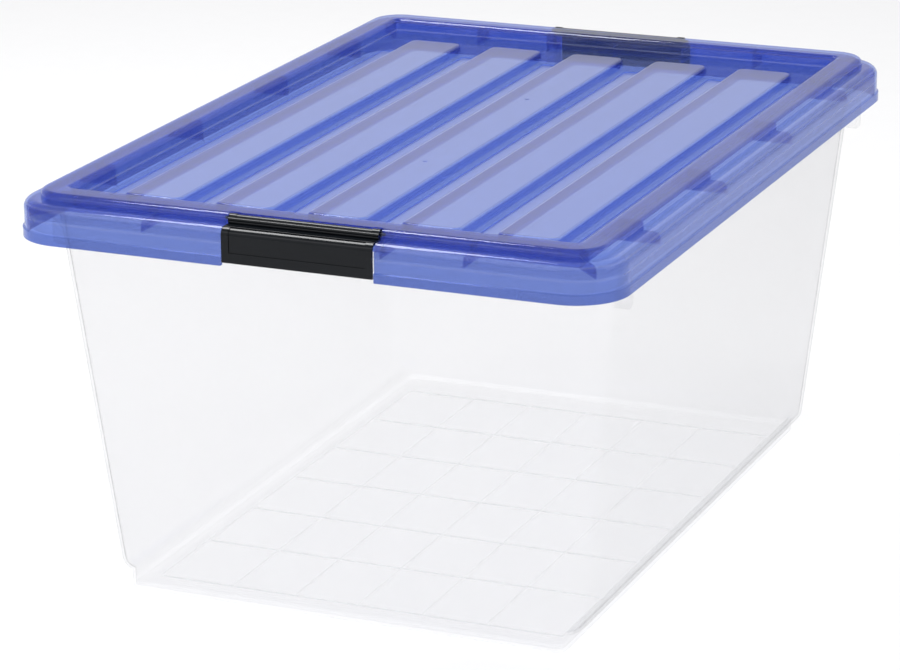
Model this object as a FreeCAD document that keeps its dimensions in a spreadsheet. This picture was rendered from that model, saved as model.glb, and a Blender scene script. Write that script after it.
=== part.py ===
"""A clear storage tub with a translucent lid and a buckle latch at each short end.

Frame: millimetres, +Z up, X across the width, Y along the length, Z = 0 at the foot.
Four moulded pieces, one body each: tub, lid, front_latch and rear_latch.
"inset" always means the distance inwards from the outermost skirt of the lid.
"""

import math
import os

import FreeCAD
import Part
import Sketcher

os.makedirs("parts", exist_ok=True)
doc = FreeCAD.newDocument("storage_box")

# ---------------------------------------------------------------- driving dimensions

SIZES = {
    # overall plan of the lid skirt
    "half_width": 225.5,
    "half_length": 317.5,
    "corner_radius": 38.0,
    "wall": 2.0,
    # heights of the lid
    "skirt_bottom": 273.0,
    "skirt_lip_height": 7.0,
    "lip_slope_drop": 0.6,
    "lip_slope_rise": 0.2,
    "step_height": 300.0,
    "rim_height": 306.5,
    "gutter_height": 290.5,
    # section of the lid edge
    "skirt_inset": 1.35,
    "shoulder_radius": 6.7,
    "rim_outer_inset": 13.6,
    "rim_outer_radius": 4.4,
    "rim_inner_inset": 35.5,
    "rim_inner_radius": 4.2,
    "well_draft": 1.0,
    # raised ribs and sunken channels of the lid panel
    "rib_pitch": 70.8,
    "rib_half_width": 22.8,
    "rib_half_length": 254.6,
    "rib_rise": 7.0,
    "rib_plan_radius": 7.0,
    "rib_edge_radius": 3.0,
    "rib_draft": 2.0,
    "channel_half_width": 6.8,
    "channel_half_length": 238.5,
    "channel_depth": 1.8,
    "channel_plan_radius": 3.0,
    "gate_spacing": 98.7,
    "gate_radius": 1.75,
    "gate_rise": 0.4,
    # webs inside the lid edge
    "web_thickness": 2.0,
    "side_web_near": 73.9,
    "side_web_far": 211.4,
    "end_web_far": 118.5,
    # latch notch in the lid
    "notch_half_width": 57.0,
    "notch_inset": 18.2,
    "notch_back_inset": 19.4,
    "notch_end_wall": 3.2,
    "notch_overhang": 2.2,
    "knuckle_pocket_start": 49.8,
    # latch
    "latch_half_width": 56.0,
    "latch_bottom": 275.5,
    "latch_shoulder_radius": 5.5,
    "latch_step_height": 300.2,
    "latch_bead_inset": 11.9,
    "bead_root_inset": 13.5,
    "bead_low": 302.0,
    "bead_high": 304.16,
    "bead_end_inset": 12.87,
    "bead_radius": 1.25,
    "pivot_inset": 15.5,
    "pivot_height": 303.2,
    "barrel_radius": 2.8,
    "barrel_foot_inset": 16.0,
    "barrel_foot_height": 300.445,
    "knuckle_radius": 3.3,
    "knuckle_width": 5.5,
    "pin_radius": 1.2,
    "pin_half_length": 59.2,
    "socket_clearance": 0.05,
    "socket_depth": 2.6,
    "panel_recess": 0.6,
    "panel_half_width": 50.5,
    "panel_bottom": 282.6,
    "panel_end_angle": 79.0,
    "hook_half_width": 45.0,
    "hook_tip_inset": 6.7,
    "hook_top": 278.7,
    "hook_nose": 1.0,
    "hook_chin_inset": 4.02,
    "hook_chin_rise": 0.3,
    # tub
    "flange_height": 289.0,
    "flange_inset": 5.5,
    "flange_lip_bottom": 279.5,
    "tub_top_half_width": 209.4,
    "tub_top_half_length": 286.3,
    "tub_top_radius": 27.0,
    "tub_low_half_width": 180.8,
    "tub_low_half_length": 258.1,
    "tub_low_radius": 17.4,
    "tub_low_height": 10.0,
    "tub_base_radius": 12.0,
    "foot_half_width": 169.8,
    "foot_half_length": 257.0,
    "foot_radius": 9.6,
    "foot_edge_radius": 1.5,
    "tab_position": 258.0,
    "tab_bottom": 256.0,
    "tab_half_width": 219.2,
    "tab_corner_radius": 4.0,
    "tab_root_inset": 1.0,
    "groove_pitch_length": 75.0,
    "groove_pitch_width": 50.0,
    "groove_half_width": 0.8,
    "groove_depth": 0.6,
    "groove_half_run_width": 158.0,
    "groove_half_run_length": 228.0,
    "groove_border_radius": 2.4,
    # how far a cutting outline reaches past the material it removes
    "cut_margin": 1.0,
}

sheet = doc.addObject("Spreadsheet::Sheet", "Sizes")
for row, (size_name, size_value) in enumerate(SIZES.items(), start=1):
    sheet.set(f"A{row}", size_name)
    sheet.set(f"B{row}", str(size_value))
    sheet.setAlias(f"B{row}", size_name)
doc.recompute()


class Size:
    """A length known both as a number and as the spreadsheet expression that gives it."""

    def __init__(self, text, number):
        self.text = text
        self.number = number

    def __add__(self, other):
        other = as_size(other)
        return Size(f"({self.text} + {other.text})", self.number + other.number)

    def __sub__(self, other):
        other = as_size(other)
        return Size(f"({self.text} - {other.text})", self.number - other.number)

    def __mul__(self, factor):
        return Size(f"({self.text} * {factor})", self.number * factor)

    def __neg__(self):
        return Size(f"(0 - {self.text})", -self.number)


def as_size(value):
    return value if isinstance(value, Size) else Size(f"{value}", float(value))


def size(name):
    return Size(f"Sizes.{name}", SIZES[name])


ZERO = as_size(0)

# number of straight facets that round the tub's base, and counts of repeated features
BASE_STEPS = 6
GROOVE_COUNT = 5
RIB_COUNT = 5
CHANNEL_COUNT = 6
CORNER_WEB_ANGLE = 45

# ---------------------------------------------------------------- sketch helpers


def origin_plane(body, role):
    return next(item for item in body.Origin.OriginFeatures if item.Role == role)


def new_sketch(body, name, role, shift=(0, 0, 0), turn=0.0):
    """A sketch on one of the body's origin planes, moved by a shift given in the sketch's own axes."""
    sketch = body.newObject("Sketcher::SketchObject", name)
    sketch.AttachmentSupport = [(origin_plane(body, role), "")]
    sketch.MapMode = "FlatFace"
    shift = [as_size(value) for value in shift]
    upright = FreeCAD.Rotation(FreeCAD.Vector(0, 1, 0), turn)
    place = FreeCAD.Vector(*(value.number for value in shift))
    sketch.AttachmentOffset = FreeCAD.Placement(place, upright)
    for axis, value in zip("xyz", shift):
        if value.number:
            sketch.setExpression(f"AttachmentOffset.Base.{axis}", value.text)
    return sketch


def hold_point(sketch, geometry, end, x, y):
    """Tie one end of a sketch line to the spreadsheet in both directions."""
    for kind, value in (("DistanceX", x), ("DistanceY", y)):
        index = sketch.addConstraint(
            Sketcher.Constraint(kind, -1, 1, geometry, end, value.number)
        )
        sketch.setExpression(f"Constraints[{index}]", value.text)


def arc_through(start, end, radius, left_turn):
    """The short arc from start to end; left_turn is True when the path bends to its left."""
    chord = end - start
    middle = (start + end) * 0.5
    rise = math.sqrt(max(radius**2 - (chord.Length / 2) ** 2, 0.0))
    normal = FreeCAD.Vector(-chord.y, chord.x, 0).normalize()
    side = 1.0 if left_turn else -1.0
    centre = middle + normal * (rise * side)
    circle = Part.Circle(centre, FreeCAD.Vector(0, 0, 1), radius)
    first, last = (start, end) if left_turn else (end, start)
    return Part.ArcOfCircle(circle, circle.parameter(first), circle.parameter(last))


def outline(sketch, corners):
    """Draw a closed outline.

    Each corner is (x, y) or (x, y, radius, left_turn); a radius makes the piece that leaves
    the corner an arc.
    """
    corners = [tuple(as_size(v) for v in item[:3]) + tuple(item[3:]) for item in corners]
    points = [FreeCAD.Vector(item[0].number, item[1].number, 0) for item in corners]
    first_geometry = len(sketch.Geometry)
    ends = []
    for index, corner in enumerate(corners):
        start, end = points[index], points[(index + 1) % len(points)]
        geometry = first_geometry + index
        if len(corner) == 4:
            left_turn = corner[3]
            sketch.addGeometry(arc_through(start, end, corner[2].number, left_turn))
            radius = sketch.addConstraint(
                Sketcher.Constraint("Radius", geometry, corner[2].number)
            )
            sketch.setExpression(f"Constraints[{radius}]", corner[2].text)
            ends.append((1, 2) if left_turn else (2, 1))
        else:
            sketch.addGeometry(Part.LineSegment(start, end))
            ends.append((1, 2))
    for index, corner in enumerate(corners):
        previous = (index - 1) % len(corners)
        sketch.addConstraint(
            Sketcher.Constraint(
                "Coincident",
                first_geometry + previous,
                ends[previous][1],
                first_geometry + index,
                ends[index][0],
            )
        )
        hold_point(sketch, first_geometry + index, ends[index][0], corner[0], corner[1])


def rounded_rectangle(sketch, half_x, half_y, radius, centre_x=ZERO, centre_y=ZERO):
    """A rectangle with rounded corners, drawn anticlockwise."""
    left, right = centre_x - half_x, centre_x + half_x
    low, high = centre_y - half_y, centre_y + half_y
    outline(
        sketch,
        [
            (left + radius, low),
            (right - radius, low, radius, True),
            (right, low + radius),
            (right, high - radius, radius, True),
            (right - radius, high),
            (left + radius, high, radius, True),
            (left, high - radius),
            (left, low + radius, radius, True),
        ],
    )


def rectangle(sketch, left, right, low, high):
    outline(sketch, [(left, low), (right, low), (right, high), (left, high)])


def circle_at(sketch, x, y, radius):
    geometry = sketch.addGeometry(
        Part.Circle(
            FreeCAD.Vector(x.number, y.number, 0), FreeCAD.Vector(0, 0, 1), radius.number
        )
    )
    hold_point(sketch, geometry, 3, x, y)
    index = sketch.addConstraint(Sketcher.Constraint("Radius", geometry, radius.number))
    sketch.setExpression(f"Constraints[{index}]", radius.text)


# ---------------------------------------------------------------- feature helpers

HEIGHT_TOLERANCE = 1e-4


def new_body(label):
    body = doc.addObject("PartDesign::Body", label)
    body.Label = label
    return body


def extrude(body, kind, name, sketch, length, reverse=False, both_ways=False, taper=None):
    """A Pad or a Pocket of a sketch; Refine merges faces that end up in one plane."""
    feature = body.newObject(f"PartDesign::{kind}", name)
    feature.Profile = sketch
    length = as_size(length)
    feature.Length = length.number
    feature.setExpression("Length", length.text)
    feature.Reversed = reverse
    if both_ways:
        feature.SideType = "Symmetric"
    if taper is not None:
        feature.TaperAngle = taper.number
        feature.setExpression("TaperAngle", taper.text)
    feature.Refine = True
    feature.FuzzyTolerance = 0.0
    doc.recompute()
    return feature


def loft(body, name, sections):
    """Straight-sided skin over a stack of sections, lowest first."""
    feature = body.newObject("PartDesign::AdditiveLoft", name)
    feature.Profile = sections[0]
    feature.Sections = sections[1:]
    feature.Ruled = True
    doc.recompute()
    return feature


def edges_at_height(feature, height):
    """Names of the edges lying wholly at one height."""
    boxes = [edge.BoundBox for edge in feature.Shape.Edges]
    return [
        f"Edge{index}"
        for index, box in enumerate(boxes, start=1)
        if max(abs(box.ZMin - height), abs(box.ZMax - height)) < HEIGHT_TOLERANCE
    ]


def fillet(body, name, feature, edge_names, radius):
    rounding = body.newObject("PartDesign::Fillet", name)
    rounding.Base = (feature, edge_names)
    rounding.Radius = radius.number
    rounding.setExpression("Radius", radius.text)
    doc.recompute()
    return rounding


def mirror_whole(body, name, role):
    """Mirror everything made so far in one of the body's origin planes."""
    mirrored = body.newObject("PartDesign::Mirrored", name)
    mirrored.TransformMode = "Whole shape"
    mirrored.MirrorPlane = (origin_plane(body, role), [""])
    mirrored.Refine = True
    body.Tip = mirrored
    doc.recompute()
    return mirrored


def first_of(count, pitch):
    """Where the first of a centred row of features stands."""
    return pitch * (-(count - 1) / 2)


def repeat(body, name, feature, role, pitch, count):
    """Repeat one feature along an origin axis."""
    pattern = body.newObject("PartDesign::LinearPattern", name)
    pattern.Originals = [feature]
    pattern.Direction = (origin_plane(body, role), [""])
    pattern.Mode = "Spacing"
    pattern.Offset = pitch.number
    pattern.setExpression("Offset", pitch.text)
    pattern.Occurrences = count
    pattern.Refine = True
    body.Tip = pattern
    doc.recompute()
    return pattern


# ---------------------------------------------------------------- tub


def tub_section(body, name, height, half_x, half_y, radius):
    sketch = new_sketch(body, name, "XY_Plane", (0, 0, height))
    rounded_rectangle(sketch, half_x, half_y, radius)
    return sketch


def tub_form(body, inset):
    """Drafted walls on a rounded base, with the narrower foot standing out below.

    The outside has no inset; the space inside is the same form one wall thickness smaller.
    """
    low = size("tub_low_height") + inset
    rounding = size("tub_base_radius") - inset
    half_x = size("tub_low_half_width") - inset
    half_y = size("tub_low_half_length") - inset
    radius = size("tub_low_radius") - inset
    sections = []
    for step in range(BASE_STEPS + 1):
        angle = math.radians(90 * step / BASE_STEPS)
        back = rounding * (1 - math.sin(angle))
        height = low + rounding * (1 - math.cos(angle))
        name = f"{body.Label}_base_section_{step}"
        sections.append(tub_section(body, name, height, half_x - back, half_y - back, radius - back))
    sections.append(
        tub_section(
            body,
            f"{body.Label}_mouth_section",
            size("flange_height") + inset,
            size("tub_top_half_width") - inset,
            size("tub_top_half_length") - inset,
            size("tub_top_radius") - inset,
        )
    )
    loft(body, f"{body.Label}_walls", sections)
    foot_outline = tub_section(
        body,
        f"{body.Label}_foot_outline",
        inset,
        size("foot_half_width") - inset,
        size("foot_half_length") - inset,
        size("foot_radius") - inset,
    )
    return extrude(
        body, "Pad", f"{body.Label}_foot", foot_outline, size("tub_low_height") + rounding
    )


def tub_flange(body):
    """Flat flange round the mouth with its edge turned down, ready for the lid and the hooks."""
    wall, edge = size("wall"), size("flange_inset")
    half_x, half_y = size("half_width") - edge, size("half_length") - edge
    radius = size("corner_radius") - edge
    flange_sketch = tub_section(
        body, "flange_outline", size("flange_height"), half_x, half_y, radius
    )
    extrude(body, "Pad", "flange", flange_sketch, wall, reverse=True)
    lip_sketch = tub_section(
        body, "lip_outline", size("flange_lip_bottom"), half_x, half_y, radius
    )
    rounded_rectangle(lip_sketch, half_x - wall, half_y - wall, radius - wall)
    lip_height = size("flange_height") - size("flange_lip_bottom")
    return extrude(body, "Pad", "turned_down_lip", lip_sketch, lip_height)


def wall_middle(height):
    """Half the tub's width measured to the middle of its side wall, at one height."""
    low, high = size("tub_low_half_width"), size("tub_top_half_width")
    rise = (height - size("tub_low_height")).number
    share = rise / (SIZES["flange_height"] - SIZES["tub_low_height"])
    return low + (high - low) * share - size("wall") * 0.5


def tub_tabs(body):
    """Upright stiffening tabs between flange and wall, near the four corners."""
    outer, bottom = size("tab_half_width"), size("tab_bottom")
    top = size("flange_height") - size("tab_root_inset")
    radius = size("tab_corner_radius")
    for end, side in (("front", -1), ("rear", 1)):
        # the sketch normal points to -Y, so a rear tab has a negative shift
        shift = (0, 0, size("tab_position") * -side)
        for hand, sign in (("right", 1), ("left", -1)):
            sketch = new_sketch(body, f"{end}_{hand}_tab_outline", "XZ_Plane", shift)
            outline(
                sketch,
                [
                    (wall_middle(bottom) * sign, bottom),
                    ((outer - radius) * sign, bottom, radius, sign > 0),
                    (outer * sign, bottom + radius),
                    (outer * sign, top),
                    (wall_middle(top) * sign, top),
                ],
            )
            name = f"{end}_{hand}_tab"
            extrude(body, "Pad", name, sketch, size("web_thickness"), both_ways=True)


def tub_cavity(body):
    """Cut out the space inside, one wall thickness in from the outside everywhere."""
    space = new_body("tub_space")
    tub_form(space, size("wall"))
    cut = body.newObject("PartDesign::Boolean", "hollow")
    cut.Type = "Cut"
    cut.addObject(space)
    cut.Refine = True
    doc.recompute()


def tub_grooves(body):
    """Fine grooves across and along the underside of the floor."""
    half = size("groove_half_width")
    run_x, run_y = size("groove_half_run_width"), size("groove_half_run_length")
    pitch_x, pitch_y = size("groove_pitch_width"), size("groove_pitch_length")
    depth = size("groove_depth")
    across = new_sketch(body, "cross_groove_outline", "XY_Plane")
    start = first_of(GROOVE_COUNT, pitch_y)
    rectangle(across, -run_x, run_x, start - half, start + half)
    first = extrude(body, "Pocket", "cross_groove", across, depth, reverse=True)
    repeat(body, "cross_grooves", first, "Y_Axis", pitch_y, GROOVE_COUNT)
    along = new_sketch(body, "long_groove_outline", "XY_Plane")
    start = first_of(GROOVE_COUNT, pitch_x)
    rectangle(along, start - half, start + half, -run_y, run_y)
    first = extrude(body, "Pocket", "long_groove", along, depth, reverse=True)
    repeat(body, "long_grooves", first, "X_Axis", pitch_x, GROOVE_COUNT)
    border = new_sketch(body, "border_groove_outline", "XY_Plane")
    radius = size("groove_border_radius")
    rounded_rectangle(border, run_x + half, run_y + half, radius + half)
    rounded_rectangle(border, run_x - half, run_y - half, radius - half)
    extrude(body, "Pocket", "border_groove", border, depth, reverse=True)


def make_tub():
    body = new_body("tub")
    outside = tub_form(body, ZERO)
    fillet(body, "foot_edge", outside, edges_at_height(outside, 0.0), size("foot_edge_radius"))
    tub_flange(body)
    tub_cavity(body)
    tub_tabs(body)
    tub_grooves(body)
    return body


# ---------------------------------------------------------------- lid


def edge_section(sketch):
    """Closed section through the lid edge: skirt, shoulder, step, rim and the wall of the well.

    The sketch's own Y axis stands at the centre of the plan corner.
    """
    corner, wall = size("corner_radius"), size("wall")

    def at(inset, height, *arc):
        return (corner - inset, height) + arc

    bottom, step, rim = size("skirt_bottom"), size("step_height"), size("rim_height")
    lip = bottom + size("skirt_lip_height")
    skirt, shoulder = size("skirt_inset"), size("shoulder_radius")
    outer, outer_round = size("rim_outer_inset"), size("rim_outer_radius")
    inner, inner_round = size("rim_inner_inset"), size("rim_inner_radius")
    well = inner + size("well_draft")
    floor = size("gutter_height")
    outline(
        sketch,
        [
            at(ZERO, bottom),
            at(ZERO, lip - size("lip_slope_drop")),
            at(skirt, lip + size("lip_slope_rise")),
            at(skirt, step - shoulder, shoulder, True),
            at(skirt + shoulder, step),
            at(outer, step),
            at(outer, rim - outer_round, outer_round, True),
            at(outer + outer_round, rim),
            at(inner - inner_round, rim, inner_round, True),
            at(inner, rim - inner_round),
            at(well, floor),
            at(well, floor - wall),
            at(well - wall, floor - wall),
            at(inner - wall, rim - inner_round, inner_round - wall, False),
            at(inner - inner_round, rim - wall),
            at(outer + outer_round, rim - wall, outer_round - wall, False),
            at(outer + wall, rim - outer_round),
            at(outer + wall, step - wall),
            at(skirt + shoulder, step - wall, shoulder - wall, False),
            at(skirt + wall, step - shoulder),
            at(skirt + wall, bottom),
        ],
    )


def web_section(sketch):
    """Outline of a web that fills the hollow of the lid edge, set half a wall into its skin."""
    corner, half = size("corner_radius"), size("wall") * 0.5

    def at(inset, height, *arc):
        return (corner - inset, height) + arc

    base, step, rim = size("flange_height"), size("step_height"), size("rim_height")
    skirt, shoulder = size("skirt_inset"), size("shoulder_radius")
    outer, outer_round = size("rim_outer_inset"), size("rim_outer_radius")
    inner, inner_round = size("rim_inner_inset"), size("rim_inner_radius")
    outline(
        sketch,
        [
            at(skirt + half, base),
            at(skirt + half, step - shoulder, shoulder - half, True),
            at(skirt + shoulder, step - half),
            at(outer + half, step - half),
            at(outer + half, rim - outer_round, outer_round - half, True),
            at(outer + outer_round, rim - half),
            at(inner - inner_round, rim - half, inner_round - half, True),
            at(inner - half, rim - inner_round),
            at(inner - half + size("well_draft"), base),
        ],
    )


def lid_quarter(body):
    """One quarter of the edge, its webs, the latch notch and the panel."""
    corner = size("corner_radius")
    centre_x, centre_y = size("half_width") - corner, size("half_length") - corner
    web = size("web_thickness")

    side = new_sketch(body, "side_edge_section", "XZ_Plane", (centre_x, 0, 0))
    edge_section(side)
    extrude(body, "Pad", "side_edge", side, centre_y, reverse=True)
    end = new_sketch(body, "end_edge_section", "YZ_Plane", (centre_y, 0, 0))
    edge_section(end)
    extrude(body, "Pad", "end_edge", end, centre_x)
    turn = new_sketch(body, "corner_edge_section", "XZ_Plane", (centre_x, 0, -centre_y))
    edge_section(turn)
    bend = body.newObject("PartDesign::Revolution", "corner_edge")
    bend.Profile = turn
    bend.ReferenceAxis = (turn, ["V_Axis"])
    bend.Angle = 90
    bend.Refine = True
    doc.recompute()

    for name, position in (("near", size("side_web_near")), ("far", size("side_web_far"))):
        sketch = new_sketch(body, f"side_web_{name}_section", "XZ_Plane", (centre_x, 0, -position))
        web_section(sketch)
        extrude(body, "Pad", f"side_web_{name}", sketch, web, both_ways=True)
    plan_centre = (centre_x, 0, -centre_y)
    diagonal = new_sketch(body, "corner_web_section", "XZ_Plane", plan_centre, CORNER_WEB_ANGLE)
    web_section(diagonal)
    extrude(body, "Pad", "corner_web", diagonal, web, both_ways=True)
    for name, start, thickness in (
        ("middle", ZERO, web * 0.5),
        ("far", size("end_web_far"), web),
        ("notch", size("notch_half_width"), size("notch_end_wall")),
    ):
        sketch = new_sketch(body, f"end_web_{name}_section", "YZ_Plane", (centre_y, 0, start))
        web_section(sketch)
        extrude(body, "Pad", f"end_web_{name}", sketch, thickness)

    half = size("wall") * 0.5
    well = size("rim_inner_inset") + size("well_draft") - half
    panel = new_sketch(body, "panel_outline", "XY_Plane", (0, 0, size("gutter_height")))
    rectangle(panel, ZERO, size("half_width") - well, ZERO, size("half_length") - well)
    extrude(body, "Pad", "panel", panel, size("wall"), reverse=True)
    latch_notch(body)


def latch_notch(body):
    """Room for the latch: skirt, shoulder and rim wall cut away, a wall behind, and pin sockets."""
    length = size("half_length")
    front, back = length - size("notch_inset"), length - size("notch_back_inset")
    margin = size("cut_margin")
    below, above = size("skirt_bottom") - margin, size("rim_height") + margin
    ledge = size("rim_height") - size("notch_overhang")
    cut = new_sketch(body, "notch_section", "YZ_Plane")
    outline(
        cut,
        [
            (back, below),
            (length + margin, below),
            (length + margin, above),
            (front, above),
            (front, ledge),
            (back, ledge),
        ],
    )
    extrude(body, "Pocket", "notch", cut, size("notch_half_width"), reverse=True)
    pocket = new_sketch(
        body, "knuckle_pocket_section", "YZ_Plane", (0, 0, size("knuckle_pocket_start"))
    )
    rectangle(pocket, back, length, ledge - margin, above)
    width = size("notch_half_width") - size("knuckle_pocket_start")
    extrude(body, "Pocket", "knuckle_pocket", pocket, width, reverse=True)
    wall = new_sketch(body, "notch_back_section", "YZ_Plane")
    # the wall runs half a skin thickness into the rim above and the notch's end walls
    bite = size("wall") * 0.5
    rectangle(wall, back - size("wall"), back, size("flange_height"), size("rim_height") - bite)
    extrude(body, "Pad", "notch_back", wall, size("notch_half_width") + bite)
    socket = new_sketch(
        body, "pin_socket_outline", "YZ_Plane", (0, 0, size("notch_half_width"))
    )
    radius = size("pin_radius") + size("socket_clearance")
    circle_at(socket, length - size("pivot_inset"), size("pivot_height"), radius)
    extrude(body, "Pocket", "pin_socket", socket, size("socket_depth"), reverse=True)


def lid_ribs(body):
    """Five raised ribs, hollow beneath, running the length of the well."""
    pitch, wall = size("rib_pitch"), size("wall")
    first_x = first_of(RIB_COUNT, pitch)
    half_x, half_y = size("rib_half_width"), size("rib_half_length")
    radius, top = size("rib_plan_radius"), size("gutter_height") + size("rib_rise")
    outer = new_sketch(body, "rib_outline", "XY_Plane", (0, 0, size("gutter_height")))
    rounded_rectangle(outer, half_x, half_y, radius, first_x)
    rib = extrude(body, "Pad", "rib", outer, size("rib_rise"), taper=-size("rib_draft"))
    ribs = repeat(body, "ribs", rib, "X_Axis", pitch, RIB_COUNT)
    edges = edges_at_height(ribs, top.number)
    fillet(body, "rib_edges", ribs, edges, size("rib_edge_radius"))
    under = size("gutter_height") - wall
    inner = new_sketch(body, "rib_hollow_outline", "XY_Plane", (0, 0, under))
    rounded_rectangle(inner, half_x - wall, half_y - wall, radius - wall, first_x)
    hollow = extrude(body, "Pocket", "rib_hollow", inner, size("rib_rise"), reverse=True)
    repeat(body, "rib_hollows", hollow, "X_Axis", pitch, RIB_COUNT)


def lid_channels(body):
    """Six sunken channels between and beside the ribs, with the skin following below."""
    pitch, wall = size("rib_pitch"), size("wall")
    first_x = first_of(CHANNEL_COUNT, pitch)
    half_x, half_y = size("channel_half_width"), size("channel_half_length")
    radius, depth = size("channel_plan_radius"), size("channel_depth")
    skin = new_sketch(
        body, "channel_skin_outline", "XY_Plane", (0, 0, size("gutter_height") - wall * 0.5)
    )
    rounded_rectangle(skin, half_x + wall, half_y + wall, radius + wall, first_x)
    backing = extrude(body, "Pad", "channel_skin", skin, depth + wall * 0.5, reverse=True)
    repeat(body, "channel_skins", backing, "X_Axis", pitch, CHANNEL_COUNT)
    groove = new_sketch(body, "channel_outline", "XY_Plane", (0, 0, size("gutter_height")))
    rounded_rectangle(groove, half_x, half_y, radius, first_x)
    channel = extrude(body, "Pocket", "channel", groove, depth)
    repeat(body, "channels", channel, "X_Axis", pitch, CHANNEL_COUNT)


def gate_marks(body):
    """The two small witness marks left by the moulding gates on the middle rib."""
    top = size("gutter_height") + size("rib_rise")
    marks = new_sketch(body, "gate_mark_outline", "XY_Plane", (0, 0, top))
    for side in (1, -1):
        circle_at(marks, ZERO, size("gate_spacing") * side, size("gate_radius"))
    extrude(body, "Pad", "gate_marks", marks, size("gate_rise"))


def make_lid():
    body = new_body("lid")
    lid_quarter(body)
    mirror_whole(body, "half_lid", "YZ_Plane")
    mirror_whole(body, "whole_lid", "XZ_Plane")
    lid_ribs(body)
    lid_channels(body)
    gate_marks(body)
    return body


# ---------------------------------------------------------------- latches


def latch_sketch(body, name, start=ZERO):
    """A sketch seen from the side whose X axis measures the inset from the lid's end."""
    return new_sketch(body, name, "YZ_Plane", (-size("half_length"), 0, start))


def latch_shell(body):
    """The bent plate of the latch, hanging from a barrel with two beads below it."""
    wall, radius = size("wall"), size("latch_shoulder_radius")
    bottom, step = size("latch_bottom"), size("latch_step_height")
    bead, bead_radius = size("latch_bead_inset"), size("bead_radius")
    pivot_x, pivot_z, barrel = size("pivot_inset"), size("pivot_height"), size("barrel_radius")
    sketch = latch_sketch(body, "shell_section")
    outline(
        sketch,
        [
            (ZERO, bottom),
            (wall, bottom),
            (wall, step - radius, radius - wall, False),
            (radius, step - wall),
            (size("bead_root_inset"), step - wall),
            (size("barrel_foot_inset"), size("barrel_foot_height"), barrel, True),
            (pivot_x + barrel, pivot_z, barrel, True),
            (size("bead_end_inset"), size("bead_high"), bead_radius, True),
            (bead, size("bead_low"), bead_radius, True),
            (bead, step),
            (radius, step, radius, True),
            (ZERO, step - radius),
        ],
    )
    extrude(body, "Pad", "shell", sketch, size("latch_half_width") * 2, both_ways=True)


def latch_panel(body):
    """The shallow sunken panel on the face, carried over the shoulder."""
    radius, recess = size("latch_shoulder_radius"), size("panel_recess")
    margin = size("cut_margin")
    angle = math.radians(SIZES["panel_end_angle"])
    cosine, sine = math.cos(angle), math.sin(angle)
    centre_z = size("latch_step_height") - radius
    inner, outer = radius - recess, radius + margin * 2
    sketch = latch_sketch(body, "panel_section")
    outline(
        sketch,
        [
            (-margin, size("panel_bottom")),
            (recess, size("panel_bottom")),
            (recess, centre_z, inner, False),
            (radius - inner * cosine, centre_z + inner * sine),
            (radius - outer * cosine, centre_z + outer * sine),
            (-margin, centre_z + outer * sine),
        ],
    )
    extrude(body, "Pocket", "panel", sketch, size("panel_half_width") * 2, both_ways=True)


def latch_hook(body):
    """The barb that bites under the turned-down lip of the tub."""
    tip, top, bottom = size("hook_tip_inset"), size("hook_top"), size("latch_bottom")
    root = size("wall") * 0.5
    sketch = latch_sketch(body, "hook_section")
    outline(
        sketch,
        [
            (root, bottom),
            (size("hook_chin_inset"), bottom + size("hook_chin_rise")),
            (tip, top - size("hook_nose")),
            (tip, top),
            (root, top),
        ],
    )
    extrude(body, "Pad", "hook", sketch, size("hook_half_width") * 2, both_ways=True)


def latch_hinge(body):
    """A thicker knuckle at each end of the barrel and the pin that runs through both."""
    start = size("latch_half_width") - size("knuckle_width")
    for side, begin in (("right", start), ("left", -size("latch_half_width"))):
        sketch = latch_sketch(body, f"{side}_knuckle_outline", begin)
        circle_at(sketch, size("pivot_inset"), size("pivot_height"), size("knuckle_radius"))
        extrude(body, "Pad", f"{side}_knuckle", sketch, size("knuckle_width"))
    pins = latch_sketch(body, "pin_outline")
    circle_at(pins, size("pivot_inset"), size("pivot_height"), size("pin_radius"))
    extrude(body, "Pad", "pins", pins, size("pin_half_length") * 2, both_ways=True)


def make_latch(label, turn):
    """One latch, built at the front end and turned about the middle of the box."""
    body = new_body(label)
    latch_shell(body)
    latch_panel(body)
    latch_hook(body)
    latch_hinge(body)
    spin = FreeCAD.Rotation(FreeCAD.Vector(0, 0, 1), turn)
    body.Placement = FreeCAD.Placement(FreeCAD.Vector(0, 0, 0), spin)
    return body


# ---------------------------------------------------------------- build, test and write

pieces = [make_tub(), make_lid(), make_latch("front_latch", 0), make_latch("rear_latch", 180)]
doc.recompute()

for item in doc.Objects:
    if "Invalid" in item.State or "Error" in item.State:
        raise RuntimeError(f"{item.Name} did not compute")

for piece in pieces:
    shape = piece.Shape
    if shape.isNull() or not shape.isValid() or len(shape.Solids) != 1:
        raise RuntimeError(f"{piece.Label} is not one valid solid")
    shape.exportStep(f"parts/{piece.Label}.step")
    box = shape.BoundBox
    print(
        f"{piece.Label}: {box.XLength:.1f} x {box.YLength:.1f} x {box.ZLength:.1f} mm,"
        f" volume {shape.Volume / 1000:.1f} cm3"
    )
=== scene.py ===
import math

import bpy
from mathutils import Matrix, Vector

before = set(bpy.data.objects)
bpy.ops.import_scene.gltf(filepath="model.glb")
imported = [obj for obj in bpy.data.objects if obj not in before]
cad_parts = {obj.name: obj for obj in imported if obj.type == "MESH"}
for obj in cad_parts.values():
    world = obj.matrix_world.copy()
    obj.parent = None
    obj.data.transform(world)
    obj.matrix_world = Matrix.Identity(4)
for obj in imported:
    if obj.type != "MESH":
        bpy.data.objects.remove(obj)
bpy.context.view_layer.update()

# A clear storage tub with a translucent blue lid and two black latches, on a pale studio floor.
# All lengths are in metres and all angles in radians unless a name says otherwise.
# Noise scales are in cells per metre, and colours are linear red, green, blue and alpha.

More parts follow.
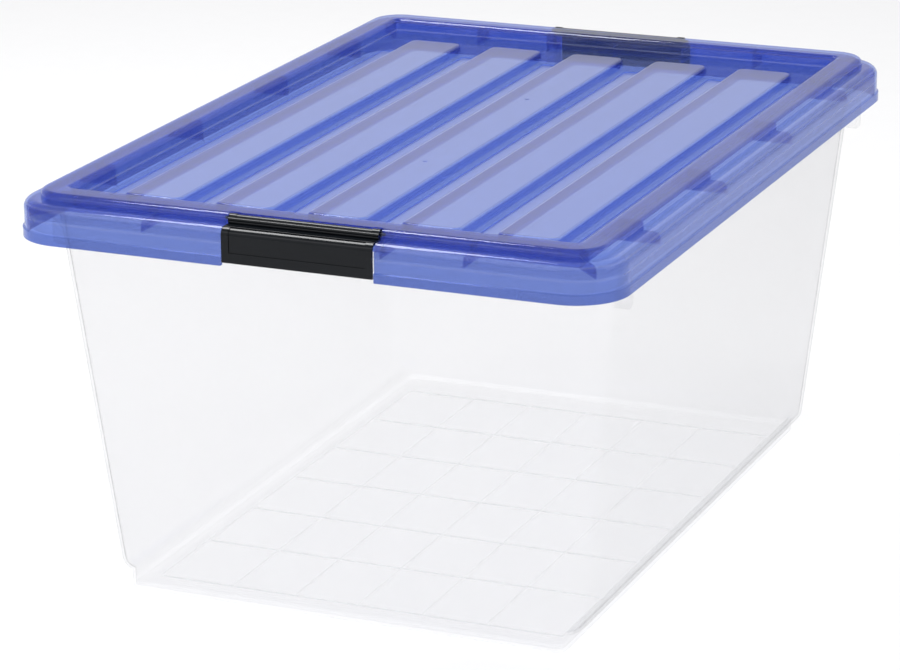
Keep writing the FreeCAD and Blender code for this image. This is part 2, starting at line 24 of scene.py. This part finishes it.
# camera
CAMERA_PLACE = Vector((1.02564, -2.44527, 0.98233))
CAMERA_AZIMUTH = 0.40547
CAMERA_ELEVATION = 0.30886
CAMERA_ROLL = -0.0097
CAMERA_FAR_CLIP = 60
LENS_MM = 146.46
SENSOR_MM = 36.0

# heights on the lid where the moulding is frosted, within the band: rib tops and channel floors
RIB_TOP = 0.2975
CHANNEL_FLOOR = 0.2887
FROST_BAND = 0.0006
# the grooves under the tub's floor are shallower than this
GROOVE_TOP = 0.0009
# top of the tub's flat floor, which is clearer than its walls
TUB_FLOOR_TOP = 0.006
# the part of the lid's well that holds the ribs and channels
WELL_HALF_WIDTH = 0.186
WELL_HALF_LENGTH = 0.262
# top of the thin lip along the bottom of the lid's skirt
LIP_TOP = 0.2798
# a face whose normal rises less than this stands upright
UPRIGHT_LIMIT = 0.5

# gloss of the see-through plastics: what they mirror head on, and how late the rest comes in at a slant
HEAD_ON_MIRROR = 0.04
MIRROR_POWER = 5
# the Layer Weight setting at which Facing is 1 minus the cosine of the slant
FACING_BLEND = 0.5
# the share of the haze that glows through the skin; the rest is thrown back
GLOW_SHARE = 0.5
# how fine the noise is unless it says otherwise
CLOUD_DETAIL = 3.0

# clear plastic: what each face lets through, its milk, and what lamps see of it
CLEAR_WALL_TINT = (0.965, 0.965, 0.968, 1)
CLEAR_FLOOR_TINT = (0.992, 0.992, 0.994, 1)
CLEAR_EDGE_TINT = (0.50, 0.505, 0.52, 1)
CLEAR_EDGE_POWER = 10
CLEAR_HAZE = (0.90, 0.90, 0.91, 1)
CLEAR_HAZE_RANGE = (0.04, 0.07)
CLEAR_GROOVE_HAZE = 0.6
CLEAR_ROUGHNESS_RANGE = (0.06, 0.18)
CLEAR_LAMP_TINT = (0.992, 0.992, 0.993, 1)
CLEAR_FLOW = {"scale": 9.0, "stretch": (1, 1, 0.35)}
CLEAR_CLOUD = {"scale": 3.0}
CLEAR_BUMP = {"strength": 0.2, "distance": 0.002}

# blue plastic: the same, with a darker tint on the lip, painted shade on the rib walls, and frost on ribs
# and channels
BLUE_TINT = (0.415, 0.51, 0.845, 1)
# painted shade: a darker tint for the upright walls between the ribs
BLUE_PAINTED_SHADE_TINT = (0.27, 0.37, 0.79, 1)
BLUE_LIP_TINT = (0.325, 0.415, 0.745, 1)
BLUE_BODY = (0.20, 0.255, 0.58, 1)
BLUE_BODY_DEEP = (0.17, 0.225, 0.55, 1)
BLUE_FROST = (0.36, 0.41, 0.70, 1)
BLUE_HAZE_SHARE = 0.10
BLUE_FROST_HAZE = 0.10
BLUE_ROUGHNESS_RANGE = (0.05, 0.10)
BLUE_FROST_ROUGHNESS = 0.3
BLUE_LAMP_TINT = (0.985, 0.987, 0.993, 1)
BLUE_CLOUD = {"scale": 14.0}
BLUE_GRAIN = {"scale": 900.0, "detail": 1.0}
BLUE_BUMP = {"strength": 0.001, "distance": 0.0004}

# black plastic of the latches
BLACK_BODY = (0.004, 0.005, 0.007, 1)
BLACK_BODY_PALE = (0.007, 0.009, 0.012, 1)
BLACK_ROUGHNESS_RANGE = (0.05, 0.11)
BLACK_SPECULAR = 0.22
BLACK_CLOUD = {"scale": 60.0}
BLACK_SCUFFS = {"scale": 700.0, "detail": 2.0, "stretch": (0.2, 1, 1)}
BLACK_BUMP = {"strength": 0.05, "distance": 0.0003}

# floor
FLOOR_HALF = 14.0
FLOOR_DROP = 0.0005
FLOOR_DARK = (0.93, 0.93, 0.93, 1)
FLOOR_LIGHT = (0.95, 0.95, 0.95, 1)
FLOOR_ROUGHNESS = 0.8
FLOOR_SPECKLE = {"scale": 40.0}
FLOOR_BUMP = {"strength": 0.02, "distance": 0.001}

# how high the pale walls reach, as the sine of the elevation, and how bright they and the ceiling are
WALL_TOP = 0.42
CEILING_START = 0.75
WALL_LIGHT = (0.92, 0.92, 0.93, 1)
CEILING_LIGHT = (0.60, 0.60, 0.61, 1)

# soft boxes: where each stands and what it faces, its width and height, and its power in watts
BOX_MIDDLE = (0, 0, 0.2)
FLOOR_BEHIND = (0.5, 2.2, 0)
SOFT_BOXES = {
    "top_box": {"place": (-1.0, 0.1, 2.5), "target": BOX_MIDDLE, "size": (1.3, 0.45), "power": 29},
    "front_box": {"place": (-1.3, -2.6, 1.9), "target": BOX_MIDDLE, "size": (1.8, 1.0), "power": 6},
    "side_box": {"place": (2.6, 0.2, 1.9), "target": BOX_MIDDLE, "size": (1.2, 2.2), "power": 9},
    "back_box": {"place": (3.2, 3.4, 2.8), "target": FLOOR_BEHIND, "size": (2.6, 1.4), "power": 12},
}

# how often a ray may bounce, and how many clear faces it may cross
MAX_BOUNCES = 14
MAX_CLEAR_CROSSINGS = 32


class Nodes:
    """A small helper that adds and wires shader nodes in one material."""

    def __init__(self, name):
        self.material = bpy.data.materials.new(name)
        self.material.use_nodes = True
        self.tree = self.material.node_tree
        self.tree.nodes.clear()

    def add(self, kind, **settings):
        """Add a node, with its own settings by name."""
        node = self.tree.nodes.new(kind)
        for key, value in settings.items():
            setattr(node, key, value)
        return node

    def put(self, socket, value):
        """Give an input a plain value, or wire another node's output to it."""
        if isinstance(value, (int, float, tuple)):
            socket.default_value = value
        else:
            self.tree.links.new(value, socket)

    def math(self, operation, *values):
        """One step of arithmetic on numbers or outputs."""
        node = self.add("ShaderNodeMath", operation=operation)
        for socket, value in zip(node.inputs, values):
            self.put(socket, value)
        return node.outputs["Value"]

    def mix_color(self, share, first, second):
        """Blend two colours: the first at share 0, the second at share 1."""
        node = self.add("ShaderNodeMix", data_type="RGBA")
        inputs = {socket.identifier: socket for socket in node.inputs}
        outputs = {socket.identifier: socket for socket in node.outputs}
        self.put(inputs["Factor_Float"], share)
        self.put(inputs["A_Color"], first)
        self.put(inputs["B_Color"], second)
        return outputs["Result_Color"]

    def mix_shader(self, share, first, second):
        """Blend two shaders: the first at share 0, the second at share 1."""
        node = self.add("ShaderNodeMixShader")
        for socket, value in zip(node.inputs, (share, first, second)):
            self.put(socket, value)
        return node.outputs["Shader"]

    def shader(self, kind, **inputs):
        """Add a shader whose named inputs get these values, and give back its output."""
        node = self.add(kind)
        for name, value in inputs.items():
            self.put(node.inputs[name], value)
        return node.outputs["BSDF"]

    def noise(self, scale, detail=CLOUD_DETAIL, stretch=(1, 1, 1)):
        """Cloudy noise in the object's own space, stretched along its axes."""
        place = self.add("ShaderNodeTexCoord")
        scaler = self.add("ShaderNodeMapping")
        self.put(scaler.inputs["Scale"], stretch)
        self.put(scaler.inputs["Vector"], place.outputs["Object"])
        noise = self.add("ShaderNodeTexNoise")
        self.put(noise.inputs["Scale"], scale)
        self.put(noise.inputs["Detail"], detail)
        self.put(noise.inputs["Vector"], scaler.outputs["Vector"])
        return noise.outputs["Fac"]

    def coordinate(self, kind):
        """The X, Y and Z of one of the object's coordinates, Object for place or Normal for facing."""
        node = self.add("ShaderNodeSeparateXYZ")
        self.put(node.inputs["Vector"], self.add("ShaderNodeTexCoord").outputs[kind])
        return node.outputs

    def scale_range(self, value, low, high):
        """Map a 0 to 1 value onto a range."""
        node = self.add("ShaderNodeMapRange")
        self.put(node.inputs["Value"], value)
        self.put(node.inputs["To Min"], low)
        self.put(node.inputs["To Max"], high)
        return node.outputs["Result"]

    def bump(self, height, strength, distance):
        """A normal tilted by the slopes of a height."""
        node = self.add("ShaderNodeBump")
        self.put(node.inputs["Strength"], strength)
        self.put(node.inputs["Distance"], distance)
        self.put(node.inputs["Height"], height)
        return node.outputs["Normal"]

    def finish(self, shader):
        """Wire the surface and give back the material."""
        output = self.add("ShaderNodeOutputMaterial")
        self.put(output.inputs["Surface"], shader)
        return self.material


def slant(nodes, power):
    """0 where a surface is seen head on, rising to 1 at its edge; a higher power keeps to the edge."""
    weight = nodes.add("ShaderNodeLayerWeight")
    nodes.put(weight.inputs["Blend"], FACING_BLEND)
    return nodes.math("POWER", weight.outputs["Facing"], power)


def mirror_share(nodes):
    """How much the outer face of a gloss plastic mirrors; the far face of the skin adds nothing."""
    at_slant = nodes.math("MULTIPLY", slant(nodes, MIRROR_POWER), 1 - HEAD_ON_MIRROR)
    share = nodes.math("ADD", at_slant, HEAD_ON_MIRROR)
    front = nodes.math("SUBTRACT", 1, nodes.add("ShaderNodeNewGeometry").outputs["Backfacing"])
    return nodes.math("MULTIPLY", share, front)


def see_through_plastic(nodes, tint, haze_share, haze, roughness, normal, lamp_tint):
    """A skin that tints what is behind it, with a little haze in it and gloss on top."""
    clear = nodes.shader("ShaderNodeBsdfTransparent", Color=tint)
    milk = nodes.shader("ShaderNodeBsdfDiffuse", Color=haze)
    glow = nodes.shader("ShaderNodeBsdfTranslucent", Color=haze)
    cloudy = nodes.mix_shader(GLOW_SHARE, milk, glow)
    body = nodes.mix_shader(haze_share, clear, cloudy)
    gloss = nodes.shader("ShaderNodeBsdfGlossy", Roughness=roughness, Normal=normal)
    surface = nodes.mix_shader(mirror_share(nodes), body, gloss)
    # lamps and diffuse light pass almost untinted, so that the plastic casts hardly any shadow
    lamp_side = nodes.shader("ShaderNodeBsdfTransparent", Color=lamp_tint)
    path = nodes.add("ShaderNodeLightPath").outputs
    lit = nodes.mix_shader(path["Is Diffuse Ray"], surface, lamp_side)
    return nodes.mix_shader(path["Is Shadow Ray"], lit, lamp_side)


def upright_faces(nodes):
    """1 on walls that stand up, 0 on floors and tops."""
    rise = nodes.math("ABSOLUTE", nodes.coordinate("Normal")["Z"])
    return nodes.math("LESS_THAN", rise, UPRIGHT_LIMIT)


def groove_walls(nodes):
    """1 on the upright walls of the fine grooves under the floor, 0 elsewhere."""
    low = nodes.math("LESS_THAN", nodes.coordinate("Object")["Z"], GROOVE_TOP)
    return nodes.math("MULTIPLY", low, upright_faces(nodes))


def rib_walls_for_painted_shade(nodes):
    """1 on the upright walls of the ribs and channels, where the lid gets painted shade, 0 on the rest of
    the lid.
    """
    place = nodes.coordinate("Object")
    in_width = nodes.math("LESS_THAN", nodes.math("ABSOLUTE", place["X"]), WELL_HALF_WIDTH)
    in_length = nodes.math("LESS_THAN", nodes.math("ABSOLUTE", place["Y"]), WELL_HALF_LENGTH)
    in_well = nodes.math("MULTIPLY", in_width, in_length)
    return nodes.math("MULTIPLY", in_well, upright_faces(nodes))


def skirt_lip(nodes):
    """1 on the lip along the bottom of the skirt, 0 on the rest of the lid."""
    return nodes.math("LESS_THAN", nodes.coordinate("Object")["Z"], LIP_TOP)


def frosted_areas(nodes):
    """1 on the flat tops of the ribs and the floors of the channels, 0 elsewhere."""
    height = nodes.coordinate("Object")["Z"]
    bands = []
    for level in (RIB_TOP, CHANNEL_FLOOR):
        away = nodes.math("ABSOLUTE", nodes.math("SUBTRACT", height, level))
        bands.append(nodes.math("LESS_THAN", away, FROST_BAND))
    return nodes.math("MAXIMUM", *bands)


def clear_tint(nodes):
    """What each face of the tub lets through: more in the floor, less where it is seen at a slant."""
    in_wall = nodes.math("GREATER_THAN", nodes.coordinate("Object")["Z"], TUB_FLOOR_TOP)
    face_tint = nodes.mix_color(in_wall, CLEAR_FLOOR_TINT, CLEAR_WALL_TINT)
    return nodes.mix_color(slant(nodes, CLEAR_EDGE_POWER), face_tint, CLEAR_EDGE_TINT)


def clear_plastic():
    """Thin clear moulding with a faint haze and flow marks, greyer where it is seen at a slant."""
    nodes = Nodes("clear_plastic")
    flow = nodes.noise(**CLEAR_FLOW)
    cloud = nodes.noise(**CLEAR_CLOUD)
    groove_haze = nodes.math("MULTIPLY", groove_walls(nodes), CLEAR_GROOVE_HAZE)
    shader = see_through_plastic(
        nodes,
        tint=clear_tint(nodes),
        haze_share=nodes.math("ADD", nodes.scale_range(cloud, *CLEAR_HAZE_RANGE), groove_haze),
        haze=CLEAR_HAZE,
        roughness=nodes.scale_range(flow, *CLEAR_ROUGHNESS_RANGE),
        normal=nodes.bump(flow, **CLEAR_BUMP),
        lamp_tint=CLEAR_LAMP_TINT,
    )
    return nodes.finish(shader)


def blue_tint_and_painted_shade(nodes):
    """What each face of the lid lets through: less in the skirt's lip, and a darker tint on the rib walls
    as painted shade.
    """
    # painted shade: the upright walls of the ribs and channels get a darker tint, standing in for the
    # shade that falls between them
    tint = nodes.mix_color(rib_walls_for_painted_shade(nodes), BLUE_TINT, BLUE_PAINTED_SHADE_TINT)
    return nodes.mix_color(skirt_lip(nodes), tint, BLUE_LIP_TINT)


def blue_plastic():
    """Translucent blue moulding, glossy with lightly frosted ribs and channels."""
    nodes = Nodes("blue_plastic")
    frost = frosted_areas(nodes)
    cloud = nodes.noise(**BLUE_CLOUD)
    grain = nodes.noise(**BLUE_GRAIN)
    body = nodes.mix_color(cloud, BLUE_BODY, BLUE_BODY_DEEP)
    frost_haze = nodes.math("MULTIPLY", frost, BLUE_FROST_HAZE)
    gloss = nodes.scale_range(cloud, *BLUE_ROUGHNESS_RANGE)
    frost_roughness = nodes.math("MULTIPLY", frost, BLUE_FROST_ROUGHNESS)
    shader = see_through_plastic(
        nodes,
        tint=blue_tint_and_painted_shade(nodes),
        haze_share=nodes.math("ADD", frost_haze, BLUE_HAZE_SHARE),
        haze=nodes.mix_color(frost, body, BLUE_FROST),
        roughness=nodes.math("ADD", gloss, frost_roughness),
        normal=nodes.bump(grain, **BLUE_BUMP),
        lamp_tint=BLUE_LAMP_TINT,
    )
    return nodes.finish(shader)


def black_plastic():
    """Gloss black moulding with faint swirl and handling marks."""
    nodes = Nodes("black_plastic")
    cloud = nodes.noise(**BLACK_CLOUD)
    scuffs = nodes.noise(**BLACK_SCUFFS)
    surface = {
        "Base Color": nodes.mix_color(cloud, BLACK_BODY, BLACK_BODY_PALE),
        "Roughness": nodes.scale_range(scuffs, *BLACK_ROUGHNESS_RANGE),
        "Specular IOR Level": BLACK_SPECULAR,
        "Normal": nodes.bump(scuffs, **BLACK_BUMP),
    }
    return nodes.finish(nodes.shader("ShaderNodeBsdfPrincipled", **surface))


def floor_paint():
    """Matt pale paint with a faint speckle."""
    nodes = Nodes("floor_paint")
    speckle = nodes.noise(**FLOOR_SPECKLE)
    surface = {
        "Base Color": nodes.mix_color(speckle, FLOOR_DARK, FLOOR_LIGHT),
        "Roughness": FLOOR_ROUGHNESS,
        "Normal": nodes.bump(speckle, **FLOOR_BUMP),
    }
    return nodes.finish(nodes.shader("ShaderNodeBsdfPrincipled", **surface))


def dress(node_name, material):
    """Give one CAD node its material."""
    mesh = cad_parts[node_name].data
    mesh.materials.clear()
    mesh.materials.append(material)


def dress_all():
    """One material for each moulding, shared by the two latches."""
    dress("tub", clear_plastic())
    dress("lid", blue_plastic())
    black = black_plastic()
    for latch in ("front_latch", "rear_latch"):
        dress(latch, black)


def lay_floor():
    """A square of floor just under the tub's foot."""
    near, far = -FLOOR_HALF, FLOOR_HALF
    corners = [(near, near, 0), (far, near, 0), (far, far, 0), (near, far, 0)]
    mesh = bpy.data.meshes.new("floor")
    mesh.from_pydata(corners, [], [range(len(corners))])
    floor = bpy.data.objects.new("floor", mesh)
    floor.location.z = -FLOOR_DROP
    bpy.context.scene.collection.objects.link(floor)
    mesh.materials.append(floor_paint())


def soft_box(name, place, target, size, power):
    """A rectangular area lamp that faces its target."""
    data = bpy.data.lights.new(name, "AREA")
    data.shape = "RECTANGLE"
    data.size, data.size_y = size
    data.energy = power
    lamp = bpy.data.objects.new(name, data)
    lamp.location = place
    lamp.rotation_euler = (Vector(target) - Vector(place)).to_track_quat("-Z", "Y").to_euler()
    bpy.context.scene.collection.objects.link(lamp)


def paint_surroundings():
    """Surroundings that are pale near the horizon and darker overhead, as in a studio with pale walls."""
    world = bpy.data.worlds.new("studio")
    world.use_nodes = True
    nodes, links = world.node_tree.nodes, world.node_tree.links
    place = nodes.new("ShaderNodeTexCoord")
    split = nodes.new("ShaderNodeSeparateXYZ")
    links.new(place.outputs["Generated"], split.inputs["Vector"])
    ramp = nodes.new("ShaderNodeValToRGB")
    bands = ((WALL_TOP, WALL_LIGHT), (CEILING_START, CEILING_LIGHT))
    for element, (position, color) in zip(ramp.color_ramp.elements, bands):
        element.position = position
        element.color = color
    links.new(split.outputs["Z"], ramp.inputs["Fac"])
    links.new(ramp.outputs["Color"], nodes["Background"].inputs["Color"])
    bpy.context.scene.world = world


def light_studio():
    """The soft boxes and the walls around them."""
    for name, settings in SOFT_BOXES.items():
        soft_box(name, **settings)
    paint_surroundings()


def place_camera():
    """Set the camera up and look through it."""
    data = bpy.data.cameras.new("camera")
    data.lens = LENS_MM
    data.sensor_width = SENSOR_MM
    data.clip_end = CAMERA_FAR_CLIP
    camera = bpy.data.objects.new("camera", data)
    turn = Matrix.Rotation(CAMERA_AZIMUTH, 4, "Z")
    tip = Matrix.Rotation(math.pi / 2 - CAMERA_ELEVATION, 4, "X")
    lean = Matrix.Rotation(CAMERA_ROLL, 4, "Z")
    camera.matrix_world = Matrix.Translation(CAMERA_PLACE) @ turn @ tip @ lean
    bpy.context.scene.collection.objects.link(camera)
    bpy.context.scene.camera = camera


def set_look():
    """Plain colours, no mirrored caustics, and light paths long enough for the layers of plastic."""
    scene = bpy.context.scene
    scene.view_settings.view_transform = "Standard"
    scene.cycles.max_bounces = MAX_BOUNCES
    scene.cycles.transparent_max_bounces = MAX_CLEAR_CROSSINGS
    scene.cycles.caustics_reflective = False


dress_all()
lay_floor()
light_studio()
place_camera()
set_look()
